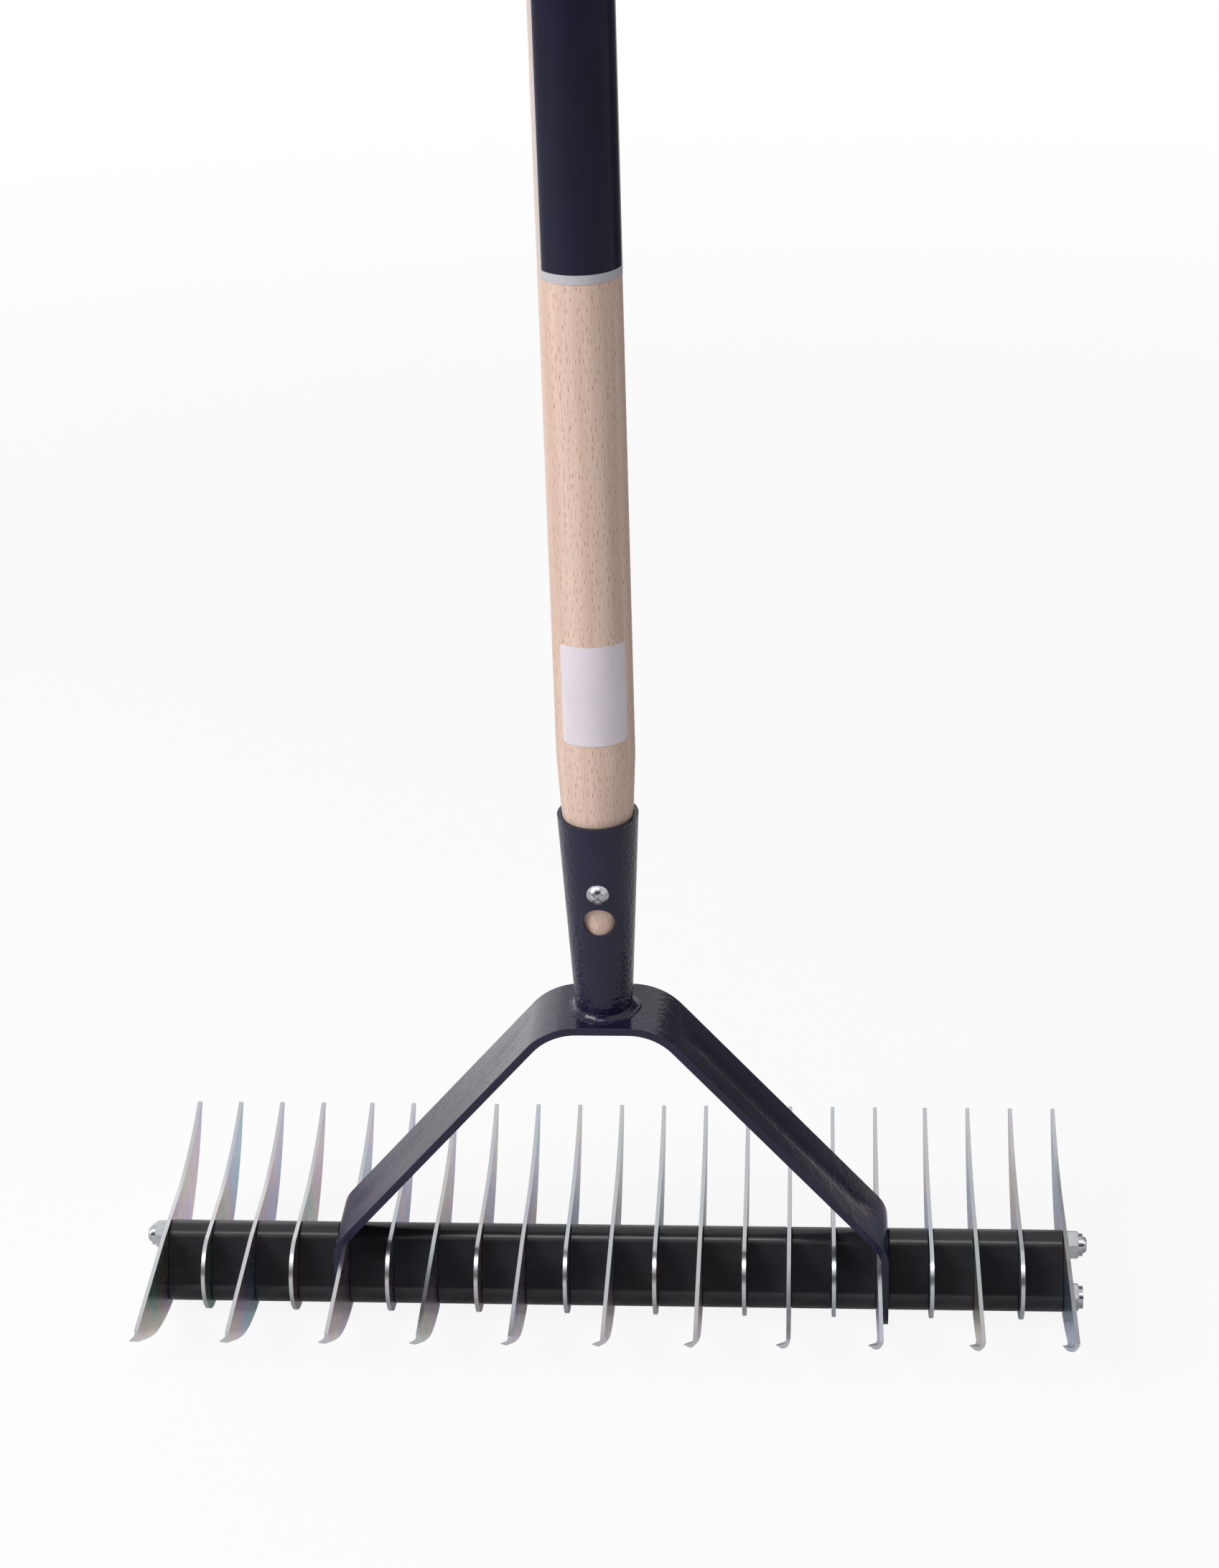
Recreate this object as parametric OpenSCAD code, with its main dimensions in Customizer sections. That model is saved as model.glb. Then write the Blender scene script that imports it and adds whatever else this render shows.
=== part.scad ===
// Thatch rake: a row of crescent steel blades on two threaded rods, held by a bent steel
// bow that is welded to a tapered socket on a long round wooden handle.
// Millimetres. The handle runs along +Z, the blade row along X, the tines point to +Y.

/* [Handle] */
// Diameter of the wooden handle
handle_d = 28; // [24:0.5:34]
// Length of the wooden handle, tapered end included
handle_len = 1500; // [1000:10:1700]
// Gap between the bow and the lower end of the handle inside the socket
handle_end_gap = 16; // [4:1:40]
// Radius that rounds the upper end of the handle
handle_top_r = 5; // [1:0.5:12]

/* [Socket] */
// Height of the socket above the bow
socket_h = 80; // [60:1:120]
// Outside diameter at the open rim
socket_rim_d = 29.2; // [26:0.2:36]
// Outside diameter at the welded foot
socket_foot_d = 21; // [16:0.5:26]
// Sheet thickness of the socket
socket_wall = 1.5; // [1:0.1:3]
// Distance of the round window below the rim
window_drop = 38.5; // [30:0.5:60]
// Diameter of the round window
window_d = 11.5; // [6:0.5:14]
// Section radius of the weld around the foot
weld_r = 4.2; // [2:0.1:6]
// Height of the weld's thin outer and upper edge
weld_edge = 0.35; // [0.2:0.05:0.8]

/* [Screw] */
// Distance of the screw below the rim
screw_drop = 26.5; // [10:0.5:40]
// Diameter of the screw head
screw_head_d = 8.2; // [6:0.2:10]
// Height of the domed screw head
screw_head_h = 2.6; // [1.5:0.1:4]
// Diameter of the screw shank
screw_d = 3.8; // [3:0.1:5]
// Length of the screw below its head
screw_len = 20; // [12:1:26]
// Width of a slot of the cross recess
recess_w = 1.1; // [0.6:0.1:1.6]
// Length of a slot of the cross recess
recess_len = 4.6; // [3:0.2:6]
// Depth of the cross recess
recess_depth = 1.5; // [0.8:0.1:2]

/* [Bow] */
// Width of the steel strip
strip_w = 33; // [24:0.5:40]
// Thickness of the steel strip
strip_t = 3; // [2:0.1:5]
// Height of the bow's upper face above the rods
bow_rise = 116; // [80:1:160]
// Half distance between the corners of the flat top
flat_half = 20.5; // [14:0.5:40]
// Drop from the flat top to the corners of the end plates
shoulder_drop = 98; // [60:1:110]
// Outer radius of the upper bends
upper_bend_r = 24.5; // [10:0.5:40]
// Outer radius of the lower bends
lower_bend_r = 14; // [8:1:24]
// Length of an end plate below the middle of the rods
plate_tail = 18; // [12:0.5:30]
// Radius of the end plates' lower corners
plate_corner_r = 8; // [2:0.5:14]
// Width of the pressed groove along each arm
groove_w = 13; // [6:0.5:20]
// Depth of the pressed groove
groove_depth = 0.8; // [0.3:0.1:1.5]
// Length over which the groove runs out at each end
groove_run = 12; // [5:1:20]

/* [Rods and nuts] */
// Diameter of the threaded rods
rod_d = 6; // [5:0.5:8]
// Distance between the two rods
rod_gap = 19.8; // [16:0.2:26]
// Lean of the rod pair from upright, lower rod forward
rod_lean = 32; // [0:1:60]
// Length of the upper rod past its nuts
rod_proud = 1.6; // [0.5:0.1:6]
// Chamfer at the rod ends
rod_chamfer = 0.6; // [0.2:0.1:1]
// Width of a nut across its flats
nut_af = 10; // [8:0.5:13]
// Height of the hexagon of a nut
nut_hex_h = 4.4; // [3:0.1:7]
// Height of the round locking collar
nut_collar_h = 1.6; // [0.8:0.1:3]
// Diameter of the round locking collar
nut_collar_d = 8.6; // [7:0.1:10]

/* [Spacers] */
// Length of a spacer along the rods
spacer_len = 15.5; // [12:0.1:20]
// Thickness of the rounded spacer section
spacer_t = 14; // [12:0.5:18]
// Length of the rounded spacer section
spacer_h = 31; // [26:0.5:38]

/* [Blades] */
// Number of blades
blade_count = 21; // [17:2:27]
// Number of blades between the end plates of the bow
inner_count = 13; // [11:2:15]
// Sheet thickness of a blade
blade_t = 1.5; // [1:0.1:2.5]
// Radius of the convex lower edge
keel_r = 92; // [80:1:110]
// Depth of the lower edge below the rods
keel_depth = 15.5; // [13:0.5:20]
// Height of the upper edge above the rods
crown_h = 15; // [13:0.5:20]
// Distance from the rods to the rounded front of a short blade
lobe_y = 6; // [2:0.5:10]
// Distance from the rods to the start of the tine's upper curve
tine_start = 22; // [14:1:30]
// Width of a tine at the start of its rounded tip
tip_w = 2.7; // [1.8:0.1:4]
// Distance from the rods to the tine's tip
tine_reach = 74.5; // [60:0.5:76]
// Radius of the tine's rounded tip
tip_r = 1.3; // [0.8:0.1:2]
// Forward reach of a long blade
foot_reach = 60; // [40:1:66]
// Height of the foot's upper edge at its front
foot_h = 11.1; // [2:0.1:12]
// Slope of the line where the toe is bent
toe_slope = 35; // [20:1:60]
// Distance from the start of the toe's bend to its round edge
toe_step = 0.4; // [0.2:0.1:2]
// Sideways angle of the bent toe
toe_angle = 65; // [10:1:75]
// Inner radius of the bent toe
toe_bend_r = 3; // [1:0.1:4]
// Flat length of the bent toe
toe_len = 1.4; // [1:0.1:8]

/* [Labels] */
// Height of the band label's lower edge above the rim
band_lift = 198; // [120:1:400]
// Height of the band label
band_h = 140; // [60:5:260]
// Part of the circle that the band label covers, in degrees
band_turn = 136; // [60:1:200]
// Turn of the band label's middle from the front, in degrees
band_face = 13; // [-40:1:40]
// Height of the small label's lower edge above the rim
tag_lift = 32.5; // [24:0.5:80]
// Height of the small label
tag_h = 37.5; // [20:0.5:60]
// Width of the small label seen from the front
tag_w = 22.4; // [12:0.2:26]
// Corner radius of the small label
tag_r = 1.4; // [0.5:0.1:4]
// Turn of the small label's middle from the front, in degrees
tag_face = 5; // [-30:1:30]
// Thickness of both labels
label_t = 0.15; // [0.1:0.05:0.4]

/* [Clearances] */
// Play of the rods in every hole they pass through
rod_play = 0.2; // [0.1:0.05:0.5]
// Play of the handle's tapered end in the socket
handle_play = 0.3; // [0.1:0.05:0.6]
// Play of the screw in the socket's hole
screw_play = 0.2; // [0.1:0.05:0.5]

/* [Hidden] */
// Overrun of every cut past the surface it opens
overrun = 1;
// Facets of a round shape, and steps of the toe's edge
round_facets = 96;
toe_steps = 16;
$fn = round_facets;
// First and last blade of the middle group, between the end plates
middle_blade = (blade_count + 1) / 2;
first_inner = middle_blade - (inner_count - 1) / 2;
last_inner = middle_blade + (inner_count - 1) / 2;
pitch = spacer_len + blade_t;
rod_z = plate_tail;
bow_z = rod_z + bow_rise;
rim_z = bow_z + socket_h;
handle_r = handle_d / 2;
rim_r = socket_rim_d / 2;
foot_r = socket_foot_d / 2;
bore_rim_r = rim_r - socket_wall;
bore_foot_r = foot_r - socket_wall;
bore_slope = (bore_rim_r - bore_foot_r) / socket_h;
handle_z = bow_z + handle_end_gap;
handle_end_r = bore_foot_r + bore_slope * handle_end_gap - handle_play;
taper_z = rim_z + (handle_r - bore_rim_r + handle_play) / bore_slope;
handle_top_z = handle_z + handle_len;
screw_z = rim_z - screw_drop;
window_z = rim_z - window_drop;
screw_seat = rim_r - screw_drop * (rim_r - foot_r) / socket_h;
rod_dy = rod_gap / 2 * sin(rod_lean);
rod_dz = rod_gap / 2 * cos(rod_lean);
hole_d = rod_d + 2 * rod_play;
plate_in = (last_inner - middle_blade) * pitch + blade_t / 2;
plate_out = plate_in + strip_t;
arm_run = plate_out - flat_half;
arm_angle = atan2(shoulder_drop, arm_run);
upper_tangent = upper_bend_r * tan(arm_angle / 2);
lower_tangent = lower_bend_r * tan(45 - arm_angle / 2);
bend1 = [flat_half - upper_tangent, bow_z - upper_bend_r];
bend2 = [plate_out - lower_bend_r, bow_z - shoulder_drop - lower_tangent];
stack_end = blade_x(blade_count) + blade_t / 2;
nut_h = nut_hex_h + nut_collar_h;
keel_z = keel_r - keel_depth;
tip_keel = keel_z - sqrt(keel_r * keel_r - tine_reach * tine_reach);
tip_run = tine_reach - tine_start;
tip_crown = tip_keel + tip_w;
tine_r = (tip_run * tip_run + (tip_crown - crown_h) * (tip_crown - crown_h))
    / (2 * (tip_crown - crown_h));
toe_out_r = toe_bend_r + blade_t;
toe_span = toe_out_r * sin(toe_angle) + toe_len * cos(toe_angle);
toe_back = foot_reach * cos(toe_slope) - (keel_z - foot_h) * sin(toe_slope);
toe_w = toe_back - 4 * toe_step + sqrt(toe_back * toe_back + keel_r * keel_r
    - foot_reach * foot_reach - (keel_z - foot_h) * (keel_z - foot_h));
toe_round = (toe_w * toe_w / 4 + toe_span * toe_span) / (2 * toe_span);
far = handle_len;

// Centre of a blade along X: the outer groups stand one strip thickness further out
function blade_x(k) =
    (k - middle_blade) * pitch
    + (k < first_inner ? -strip_t : k > last_inner ? strip_t : 0);
// Start of a spacer along X: the one after the right end plate starts past the plate
function spacer_x(k) = blade_x(k) + blade_t / 2 + (k == last_inner ? strip_t : 0);
function two(k) = k < 10 ? str("0", k) : str(k);
function blade_name(k) = str("blade_", two(k));
function spacer_name(k) = str("spacer_", two(k));

// Turns a flat (y, z) outline so that its thickness runs along X
module along_x() {
    rotate([90, 0, 90])
        children();
}

// Both rods' places in the (y, z) plane, measured from their middle
module at_rods() {
    translate([rod_dy, rod_dz])
        children();
    translate([-rod_dy, -rod_dz])
        children();
}

module handle() {
    color("burlywood")
    difference() {
        rotate_extrude()
            handle_half();
        screw_shank(screw_d);
    }
}

// Half section of the handle: tapered end, straight shaft and rounded top
module handle_half() {
    difference() {
        polygon([
            [0, handle_z],
            [handle_end_r, handle_z],
            [handle_r, taper_z],
            [handle_r, handle_top_z],
            [0, handle_top_z]
        ]);
        translate([handle_r - handle_top_r, handle_top_z - handle_top_r])
        difference() {
            square(handle_top_r + overrun);
            circle(r = handle_top_r);
        }
    }
}

// A label shell that lies on the handle between two heights
module label_shell(low, high) {
    translate([0, 0, low])
    difference() {
        cylinder(h = high - low, r = handle_r + label_t);
        translate([0, 0, -overrun])
            cylinder(h = high - low + 2 * overrun, r = handle_r);
    }
}

module band_label() {
    color("midnightblue")
    translate([0, 0, rim_z + band_lift])
    rotate([0, 0, band_face - 90 - band_turn / 2])
    rotate_extrude(angle = band_turn)
    translate([handle_r, 0])
        square([label_t, band_h]);
}

module small_label() {
    color("white")
    intersection() {
        label_shell(rim_z + tag_lift, rim_z + tag_lift + tag_h);
        rotate([0, 0, tag_face])
        translate([0, 0, rim_z + tag_lift + tag_h / 2])
        rotate([90, 0, 0])
        linear_extrude(height = handle_d)
            tag_outline();
    }
}

module tag_outline() {
    square([tag_w - 2 * tag_r, tag_h], center = true);
    square([tag_w, tag_h - 2 * tag_r], center = true);
    for (sx = [-1, 1], sz = [-1, 1])
        translate([sx * (tag_w / 2 - tag_r), sz * (tag_h / 2 - tag_r)])
            circle(r = tag_r);
}

// Solid cone with the outside shape of the socket
module socket_body() {
    translate([0, 0, bow_z])
        cylinder(h = socket_h, r1 = foot_r, r2 = rim_r);
}

// The screw's shank with a given diameter, from the front to its tip
module screw_shank(d) {
    translate([0, -screw_seat, screw_z])
    rotate([-90, 0, 0])
        cylinder(h = screw_len, d = d);
}

module socket() {
    color("darkslategray")
    difference() {
        socket_body();
        translate([0, 0, bow_z - overrun])
            cylinder(
                h = socket_h + 2 * overrun,
                r1 = bore_foot_r - bore_slope * overrun,
                r2 = bore_rim_r + bore_slope * overrun
            );
        translate([0, 0, window_z])
        rotate([90, 0, 0])
            cylinder(h = rim_r + overrun, d = window_d);
        translate([0, 0, screw_z])
        rotate([90, 0, 0])
            cylinder(h = rim_r + overrun, d = screw_d + 2 * screw_play);
    }
}

module weld() {
    color("slategray")
    difference() {
        translate([0, 0, bow_z])
        rotate_extrude()
        difference() {
            translate([foot_r, 0])
                square(weld_r);
            translate([foot_r + weld_r + weld_edge, weld_r + weld_edge])
                circle(r = weld_r);
        }
        socket_body();
    }
}

module handle_screw() {
    color("silver")
    difference() {
        union() {
            screw_shank(screw_d);
            difference() {
                screw_head();
                socket_body();
            }
        }
        translate([0, -screw_seat - screw_head_h - overrun, screw_z])
        for (turn = [45, 135])
            rotate([0, turn, 0])
            translate([-recess_len / 2, 0, -recess_w / 2])
                cube([recess_len, recess_depth + overrun, recess_w]);
    }
}

// Domed head that sits on the curved front of the socket
module screw_head() {
    dome_r = (screw_head_d * screw_head_d / 4 + screw_head_h * screw_head_h)
        / (2 * screw_head_h);
    intersection() {
        translate([0, -screw_seat - screw_head_h + dome_r, screw_z])
            sphere(r = dome_r);
        translate([0, -screw_seat + overrun, screw_z])
        rotate([90, 0, 0])
            cylinder(h = screw_head_h + 2 * overrun, d = screw_head_d);
    }
}

// Direction at an angle from straight up, turning towards +X
function heading(a) = [sin(a), cos(a)];
// Sharp corner outside a bend that runs from one heading to another
function bend_corner(centre, r, a1, a2) =
    centre + r / cos((a2 - a1) / 2) * heading((a1 + a2) / 2);

// What a bend takes off its sharp corner
module corner_cut(centre, r, a1, a2) {
    translate(centre)
    difference() {
        polygon([
            [0, 0],
            r * heading(a1),
            2 * r / cos((a2 - a1) / 2) * heading((a1 + a2) / 2),
            r * heading(a2)
        ]);
        circle(r = r);
    }
}

// Space under the strip's path, inset from its outer face
module under_path(inset, tail) {
    r1 = upper_bend_r - inset;
    r2 = lower_bend_r - inset;
    right = [
        bend_corner(bend1, r1, 0, arm_angle),
        bend_corner(bend2, r2, arm_angle, 90),
        [plate_out - inset, tail]
    ];
    difference() {
        polygon(concat(
            right,
            [for (k = [len(right) - 1:-1:0]) [-right[k][0], right[k][1]]]
        ));
        for (side = [0, 1])
            mirror([side, 0]) {
                corner_cut(bend1, r1, 0, arm_angle);
                corner_cut(bend2, r2, arm_angle, 90);
            }
    }
}

// Outline of the strip seen from its end: straight with rounded lower corners
module strip_side() {
    translate([-strip_w / 2, plate_corner_r])
        square([strip_w, bow_z + overrun]);
    translate([plate_corner_r - strip_w / 2, 0])
        square([strip_w - 2 * plate_corner_r, bow_z]);
    for (side = [-1, 1])
        translate([side * (strip_w / 2 - plate_corner_r), plate_corner_r])
            circle(r = plate_corner_r);
}

module bow() {
    color("darkslategray")
    difference() {
        intersection() {
            rotate([90, 0, 0])
            linear_extrude(height = strip_w + 2 * overrun, center = true)
            difference() {
                under_path(0, 0);
                under_path(strip_t, -overrun);
            }
            translate([-plate_out - overrun, 0, 0])
            along_x()
            linear_extrude(height = 2 * (plate_out + overrun))
                strip_side();
        }
        translate([-plate_out - overrun, 0, rod_z])
        along_x()
        linear_extrude(height = 2 * (plate_out + overrun))
        at_rods()
            circle(d = hole_d);
        for (side = [0, 1])
            mirror([side, 0, 0])
                arm_groove();
    }
}

// Shallow groove pressed along the flat outer face of one arm, with sloped sides and ends
module arm_groove() {
    arm_len = sqrt(arm_run * arm_run + shoulder_drop * shoulder_drop);
    start = upper_tangent + overrun;
    end = arm_len - lower_tangent - overrun;
    translate([flat_half, 0, bow_z])
    rotate([0, arm_angle, 0])
    intersection() {
        along_x()
        linear_extrude(height = arm_len)
            groove_profile(-groove_w / 2, groove_w / 2, groove_w / 4);
        rotate([90, 0, 0])
        linear_extrude(height = strip_w, center = true)
            groove_profile(start, end, groove_run);
    }
}

// Section of the groove: slopes down from both ends over a run and opens above the face
module groove_profile(start, end, run) {
    polygon([
        [start + run, -groove_depth],
        [end - run, -groove_depth],
        [end + run, groove_depth],
        [start - run, groove_depth]
    ]);
}

// A rod with chamfered ends, from one end to the other
module rod(from, to) {
    translate([from, 0, 0])
    rotate([0, 90, 0])
    rotate_extrude()
    polygon([
        [0, 0],
        [rod_d / 2 - rod_chamfer, 0],
        [rod_d / 2, rod_chamfer],
        [rod_d / 2, to - from - rod_chamfer],
        [rod_d / 2 - rod_chamfer, to - from],
        [0, to - from]
    ]);
}

module rod_upper() {
    color("silver")
    translate([0, rod_dy, rod_z + rod_dz])
        rod(-stack_end - nut_h - rod_proud, stack_end + nut_h + rod_proud);
}

module rod_lower() {
    color("silver")
    translate([0, -rod_dy, rod_z - rod_dz])
        rod(-stack_end - nut_h, stack_end + nut_h - rod_chamfer);
}

// A lock nut that stands on x = 0 and grows along +X
module lock_nut() {
    hex_r = nut_af / 2 / cos(30);
    rotate([0, 90, 0])
    difference() {
        union() {
            intersection() {
                cylinder(h = nut_hex_h, r = hex_r, $fn = 6);
                cylinder(h = nut_hex_h, r1 = hex_r + nut_hex_h, r2 = nut_af / 2);
            }
            translate([0, 0, nut_hex_h])
                cylinder(h = nut_collar_h, d = nut_collar_d);
        }
        translate([0, 0, -overrun])
            cylinder(h = nut_h + 2 * overrun, d = rod_d);
    }
}

module lock_nuts() {
    color("silver")
    for (side = [0, 1])
        mirror([side, 0, 0])
        translate([stack_end, 0, rod_z]) {
            translate([0, rod_dy, rod_dz])
                lock_nut();
            translate([0, -rod_dy, -rod_dz])
                lock_nut();
        }
}

// Outline shared by all blades: round keel below, straight crown and hollow tine above
module blade_outline() {
    difference() {
        intersection() {
            translate([0, keel_z])
                circle(r = keel_r);
            translate([-far, -keel_depth - overrun])
                square([far + tine_reach, far]);
        }
        translate([-far, crown_h])
            square([far + tine_start, far]);
        translate([tine_start, crown_h + tine_r])
            circle(r = tine_r);
        translate([tine_start, crown_h + tine_r])
            square([far, far]);
    }
    translate([tine_reach, (tip_keel + tip_crown) / 2])
        circle(r = tip_r);
}

// Short blade: the front ends in a round lobe
module short_outline() {
    difference() {
        blade_outline();
        translate([-lobe_y - far, -far / 2])
            square([far, far]);
    }
    intersection() {
        blade_outline();
        translate([-lobe_y, 0])
            circle(r = crown_h);
    }
}

// Long blade: the front runs on as a foot that ends in a rounded toe
module long_outline() {
    fall = (crown_h - foot_h) / (foot_reach - lobe_y);
    difference() {
        union() {
            blade_outline();
            intersection() {
                toe_disc();
                below_toe(overrun);
            }
        }
        polygon([
            [-lobe_y, crown_h],
            [-lobe_y - far, crown_h - far * fall],
            [-lobe_y - far, far],
            [-lobe_y, far]
        ]);
        difference() {
            below_toe(-toe_step);
            toe_disc();
        }
    }
}

// The line where the toe is bent becomes the X axis, with the blade above it
module at_toe() {
    translate([-foot_reach, foot_h])
    rotate(-toe_slope)
        children();
}

module toe_disc() {
    half = asin(toe_w / 2 / toe_round);
    at_toe()
    translate([toe_w / 2, toe_round - toe_span - toe_step])
    polygon([
        for (step = [-1 : toe_steps + 1])
            let (turn = half * (2 * step / toe_steps - 1))
            toe_round * [sin(turn), -cos(turn)]
    ]);
}

// Everything on the toe's side of the bend line, from a height above it
module below_toe(height) {
    at_toe()
    translate([-far, height - far])
        square([2 * far, far]);
}

// Room below a sheet that runs straight, bends down and runs on, inset from its upper face
module under_sheet(inset) {
    radius = toe_out_r - inset;
    centre = [0, blade_t / 2 - toe_out_r];
    corner = bend_corner(centre, radius, 0, toe_angle);
    difference() {
        polygon([
            [-far, corner[1]],
            corner,
            corner + foot_reach * [cos(toe_angle), -sin(toe_angle)],
            [-far, -foot_reach]
        ]);
        corner_cut(centre, radius, 0, toe_angle);
    }
}

// The bent sheet in the blade's own (y, z, x) axes, wider than the blade
module bent_sheet() {
    translate([-foot_reach, foot_h, 0])
    rotate([0, 0, -toe_slope])
    mirror([0, 1, 0])
    translate([-far / 2, 0, 0])
    along_x()
    linear_extrude(height = far)
    intersection() {
        difference() {
            under_sheet(0);
            under_sheet(blade_t);
        }
        translate([-far / 2, -foot_reach / 2])
            square([far, foot_reach]);
    }
}

module long_blade() {
    intersection() {
        linear_extrude(height = foot_reach, center = true)
            long_outline();
        bent_sheet();
    }
}

module short_blade() {
    linear_extrude(height = blade_t, center = true)
        short_outline();
}

module blade(k) {
    color("lightsteelblue")
    translate([blade_x(k), 0, rod_z])
    along_x()
    difference() {
        if (k % 2 == 1)
            long_blade();
        else
            short_blade();
        linear_extrude(height = blade_t + 2 * overrun, center = true)
        at_rods()
            circle(d = hole_d);
    }
}

module spacer(k) {
    color("black")
    translate([spacer_x(k), 0, rod_z])
    along_x()
    linear_extrude(height = spacer_len)
    difference() {
        rotate(-rod_lean)
            spacer_outline();
        at_rods()
            circle(d = hole_d);
    }
}

module spacer_outline() {
    straight = spacer_h - spacer_t;
    square([spacer_t, straight], center = true);
    for (side = [-1, 1])
        translate([0, side * straight / 2])
            circle(d = spacer_t);
}

handle();
band_label();
small_label();
socket();
weld();
handle_screw();
bow();
rod_upper();
rod_lower();
lock_nuts();
for (k = [1:blade_count])
    blade(k);
for (k = [1:blade_count - 1])
    spacer(k);
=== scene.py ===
"""Dresses the thatch rake: soft-edged pieces, finishes, studio and camera."""

import logging
import math
from dataclasses import dataclass, field
from enum import Enum
from typing import Any, Callable, Optional, Sequence, Union

import bmesh
import bpy
from mathutils import Matrix, Vector


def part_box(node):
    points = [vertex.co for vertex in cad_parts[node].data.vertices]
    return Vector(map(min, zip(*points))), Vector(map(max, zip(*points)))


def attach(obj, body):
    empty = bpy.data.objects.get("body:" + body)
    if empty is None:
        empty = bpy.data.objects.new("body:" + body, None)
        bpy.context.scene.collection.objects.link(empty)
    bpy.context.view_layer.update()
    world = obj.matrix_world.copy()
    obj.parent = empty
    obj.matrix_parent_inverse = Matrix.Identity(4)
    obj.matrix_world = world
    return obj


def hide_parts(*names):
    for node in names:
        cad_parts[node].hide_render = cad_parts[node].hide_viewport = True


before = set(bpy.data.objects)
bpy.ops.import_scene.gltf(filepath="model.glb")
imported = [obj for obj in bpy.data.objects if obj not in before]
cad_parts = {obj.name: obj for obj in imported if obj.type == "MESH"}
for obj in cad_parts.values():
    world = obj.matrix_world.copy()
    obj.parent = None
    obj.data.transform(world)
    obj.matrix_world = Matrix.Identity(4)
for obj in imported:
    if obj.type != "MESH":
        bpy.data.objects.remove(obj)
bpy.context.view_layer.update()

LOG = logging.getLogger("thatch_rake")
BODY = "root"
MERGE_DISTANCE = 1e-6
FLAT_ANGLE = math.radians(0.3)

Colour = tuple[float, float, float, float]
Triple = tuple[float, float, float]
Number = Union[float, "Signal"]


def tint(red: float, green: float, blue: float) -> Colour:
    """Turns a display colour into a linear one.

    Args:
        red: Red from 0 to 255.
        green: Green from 0 to 255.
        blue: Blue from 0 to 255.

    Returns:
        The linear colour with full alpha.
    """
    def linear(level: float) -> float:
        """One channel made linear."""
        share = level / 255
        return share / 12.92 if share <= 0.04045 else ((share + 0.055) / 1.055) ** 2.4

    return (linear(red), linear(green), linear(blue), 1.0)


class Signal:
    """A node socket that takes part in plain arithmetic."""

    def __init__(self, graph: "Graph", socket: bpy.types.NodeSocket) -> None:
        """Keeps the socket with the graph that it belongs to."""
        self.graph = graph
        self.socket = socket

    def __add__(self, other: Number) -> "Signal":
        """Sum of two values."""
        return self.graph.math("ADD", self, other)

    def __radd__(self, other: Number) -> "Signal":
        """Sum of two values."""
        return self.graph.math("ADD", other, self)

    def __sub__(self, other: Number) -> "Signal":
        """Difference of two values."""
        return self.graph.math("SUBTRACT", self, other)

    def __rsub__(self, other: Number) -> "Signal":
        """Difference of two values."""
        return self.graph.math("SUBTRACT", other, self)

    def __mul__(self, other: Number) -> "Signal":
        """Product of two values."""
        return self.graph.math("MULTIPLY", self, other)

    def __rmul__(self, other: Number) -> "Signal":
        """Product of two values."""
        return self.graph.math("MULTIPLY", other, self)

    def __truediv__(self, other: Number) -> "Signal":
        """Quotient of two values."""
        return self.graph.math("DIVIDE", self, other)

    def __rtruediv__(self, other: Number) -> "Signal":
        """Quotient of two values."""
        return self.graph.math("DIVIDE", other, self)

    def __pow__(self, other: Number) -> "Signal":
        """One value raised to another."""
        return self.graph.math("POWER", self, other)

    def __neg__(self) -> "Signal":
        """The value with its sign turned."""
        return self.graph.math("MULTIPLY", self, -1.0)

    def __abs__(self) -> "Signal":
        """The value without its sign."""
        return self.graph.math("ABSOLUTE", self)

    def least(self, other: Number) -> "Signal":
        """The smaller of two values."""
        return self.graph.math("MINIMUM", self, other)

    def most(self, other: Number) -> "Signal":
        """The larger of two values."""
        return self.graph.math("MAXIMUM", self, other)

    def step(self, low: float, high: float) -> "Signal":
        """Rises smoothly from 0 at one value to 1 at another.

        Args:
            low: Value at which the rise starts.
            high: Value at which the rise ends; it may be the smaller one.

        Returns:
            The smooth step.
        """
        if low > high:
            return 1.0 - self.step(high, low)
        made = self.graph.node(
            "ShaderNodeMapRange",
            {"interpolation_type": "SMOOTHSTEP"},
            {"Value": self, "From Min": low, "From Max": high},
        )
        return Signal(self.graph, made.outputs["Result"])


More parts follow.
